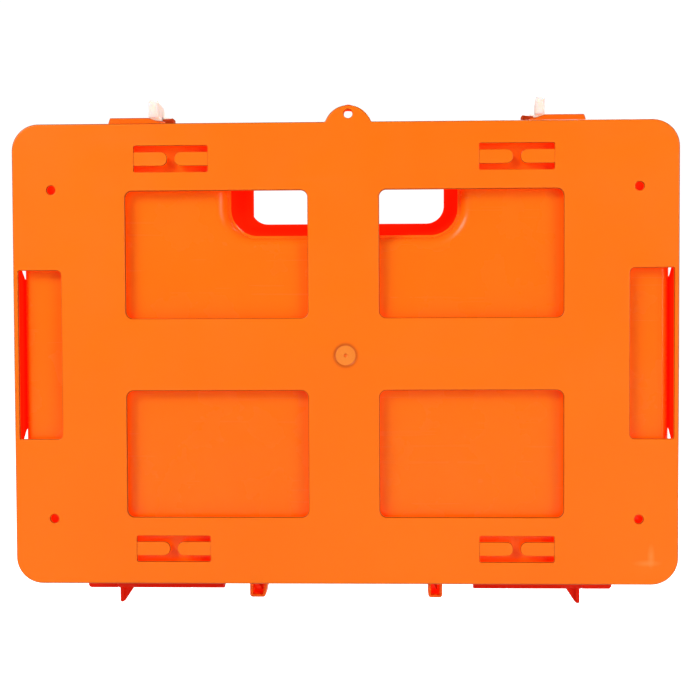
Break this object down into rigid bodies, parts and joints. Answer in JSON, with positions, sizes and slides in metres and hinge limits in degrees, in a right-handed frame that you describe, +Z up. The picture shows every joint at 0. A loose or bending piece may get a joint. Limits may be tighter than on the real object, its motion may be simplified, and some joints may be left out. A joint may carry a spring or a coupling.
{
  "type": "wall-mounted emergency case",
  "caption": "Rectangular hinged hard case with a hand opening, turn clips and gasket, hung on a windowed wall bracket with side hooks and a hanging eye.",
  "frame": {"origin": "centre of the bracket's four-screw pattern on its wall-side face", "axes": "+X right as seen from the wall, +Y from the wall into the room, +Z up"},
  "size_m": [0.398, 0.143, 0.3162],
  "materials": {
    "bracket_plastic": "semi-gloss moulded",
    "case_plastic": "semi-gloss moulded",
    "seal_rubber": "soft matt",
    "pin_steel": "drawn rod",
    "clip_plastic": "cloudy white, slightly see-through",
    "divider_plastic": "fine matt sheet",
    "cover_plastic": "clear sheet",
    "knob_plastic": "fine grain"
  },
  "bodies": {
    "bracket": {"wall_bracket": "bracket_plastic"},
    "case": {"back_shell": "case_plastic", "back_grip": "case_plastic", "hinge_pin_left": "pin_steel", "hinge_pin_right": "pin_steel", "clip_pin_left": "pin_steel", "clip_pin_right": "pin_steel", "shelf_divider": "divider_plastic", "divider_left": "divider_plastic", "divider_right": "divider_plastic"},
    "lid": {"lid_shell": "case_plastic", "lid_grip": "case_plastic", "lid_seal": "seal_rubber", "clear_cover": "cover_plastic"},
    "clip_left": {"turn_clip_left": "clip_plastic"},
    "clip_right": {"turn_clip_right": "clip_plastic"},
    "knob_a": {"knob_top_left": "knob_plastic"},
    "knob_b": {"knob_top_right": "knob_plastic"},
    "knob_c": {"knob_low_left": "knob_plastic"},
    "knob_d": {"knob_low_right": "knob_plastic"}
  },
  "joints": [
    {"name": "case_lift", "type": "slide", "parent": "bracket", "child": "case", "axis": [0, 0, 1], "range_m": [0, 0.185]},
    {"name": "lid_hinge", "type": "hinge", "parent": "case", "child": "lid", "pos_m": [0, 0.0681, -0.1463], "axis": [-1, 0, 0], "range_deg": [0, 90]},
    {"name": "clip_turn_left", "type": "hinge", "parent": "case", "child": "clip_left", "pos_m": [-0.12, 0.061, 0.15], "axis": [0, 0, 1], "range_deg": [0, 87.5]},
    {"name": "clip_turn_right", "type": "hinge", "parent": "case", "child": "clip_right", "pos_m": [0.12, 0.061, 0.15], "axis": [0, 0, -1], "range_deg": [0, 84.5]},
    {"name": "knob_turn_top_left", "type": "hinge", "parent": "lid", "child": "knob_a", "pos_m": [-0.168, 0.078, 0.108], "axis": [0, 1, 0], "range_deg": [0, 90]},
    {"name": "knob_turn_top_right", "type": "hinge", "parent": "lid", "child": "knob_b", "pos_m": [0.168, 0.078, 0.108], "axis": [0, 1, 0], "range_deg": [0, 90]},
    {"name": "knob_turn_low_left", "type": "hinge", "parent": "lid", "child": "knob_c", "pos_m": [-0.168, 0.078, -0.108], "axis": [0, 1, 0], "range_deg": [0, 90]},
    {"name": "knob_turn_low_right", "type": "hinge", "parent": "lid", "child": "knob_d", "pos_m": [0.168, 0.078, -0.108], "axis": [0, 1, 0], "range_deg": [0, 90]}
  ]
}
